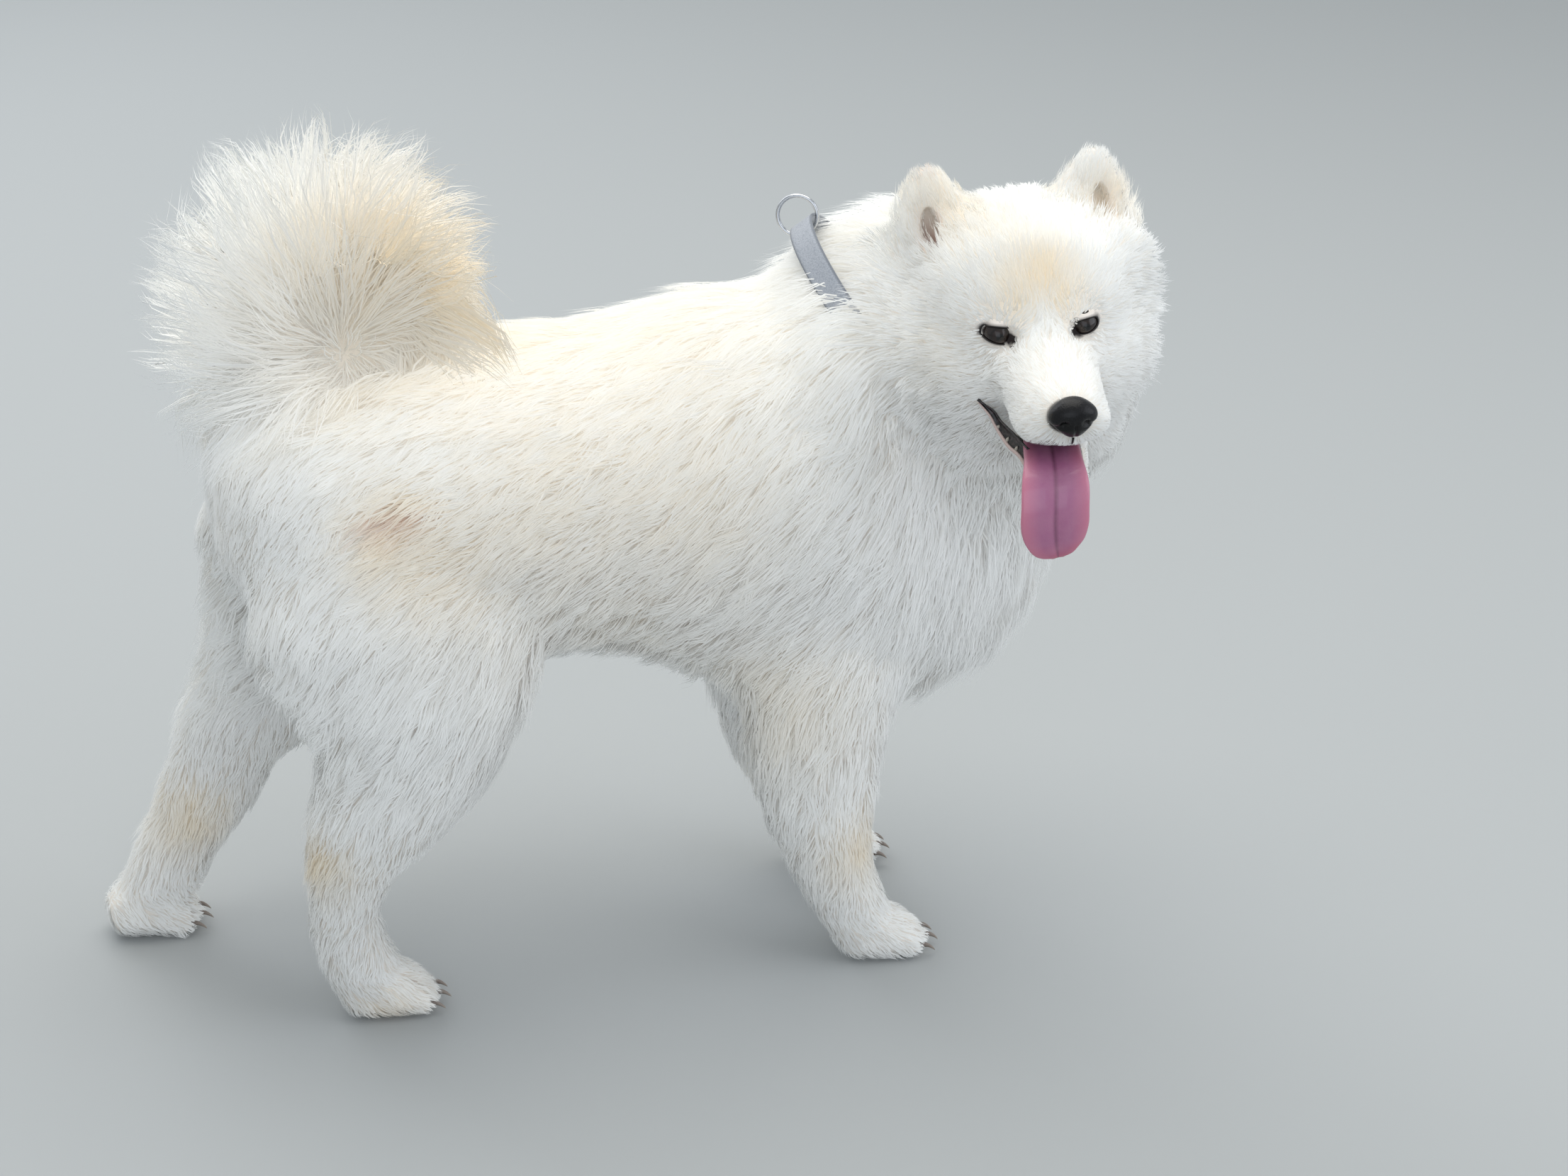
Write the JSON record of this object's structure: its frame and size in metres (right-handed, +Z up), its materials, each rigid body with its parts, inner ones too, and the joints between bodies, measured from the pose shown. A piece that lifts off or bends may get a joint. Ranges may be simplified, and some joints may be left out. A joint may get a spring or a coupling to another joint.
{
  "type": "samoyed dog, still model",
  "caption": "Life-size still model of a standing samoyed with a thick off-white coat, curled plume tail, head turned to its right, open mouth and a plain webbing collar.",
  "frame": {"origin": "middle of the bottom of the whole model's box, on the floor between the four feet", "axes": "+X towards the dog's front end, +Y towards its left side, +Z up"},
  "size_m": [0.806, 0.4122, 0.6871],
  "materials": {
    "coat": "long soft dog hair, off-white with biscuit tints",
    "skin": "dark bare skin of the lids and lips",
    "eye": "wet, very dark brown",
    "nose_leather": "moist black nose leather",
    "tongue": "wet pink",
    "gum": "wet dark gum",
    "tooth": "wet ivory enamel",
    "claw_horn": "grey-brown horn",
    "pad": "rough dark paw pad",
    "webbing": "woven light grey webbing",
    "steel": "polished steel wire"
  },
  "bodies": {
    "root": {"chest": "coat", "neck": "coat", "loin": "coat", "head": "coat", "lower_jaw": "coat", "ear_right": "coat", "ear_left": "coat", "tail_root": "coat", "tail_middle": "coat", "tail_tip": "coat", "foreleg_right_upper": "coat", "foreleg_right_lower": "coat", "foreleg_right_paw": "coat", "foreleg_left_upper": "coat", "foreleg_left_lower": "coat", "foreleg_left_paw": "coat", "hindleg_right_thigh": "coat", "hindleg_right_shank": "coat", "hindleg_right_paw": "coat", "hindleg_left_thigh": "coat", "hindleg_left_shank": "coat", "hindleg_left_paw": "coat", "eye_right": "eye", "eye_left": "eye", "nose": "nose_leather", "tongue": "tongue", "claw_foreleg_right_1": "claw_horn", "claw_foreleg_right_2": "claw_horn", "claw_foreleg_right_3": "claw_horn", "claw_foreleg_right_4": "claw_horn", "claw_foreleg_left_1": "claw_horn", "claw_foreleg_left_2": "claw_horn", "claw_foreleg_left_3": "claw_horn", "claw_foreleg_left_4": "claw_horn", "claw_hindleg_right_1": "claw_horn", "claw_hindleg_right_2": "claw_horn", "claw_hindleg_right_3": "claw_horn", "claw_hindleg_right_4": "claw_horn", "claw_hindleg_left_1": "claw_horn", "claw_hindleg_left_2": "claw_horn", "claw_hindleg_left_3": "claw_horn", "claw_hindleg_left_4": "claw_horn", "collar_strap": "webbing", "collar_ring": "steel"}
  },
  "joints": []
}
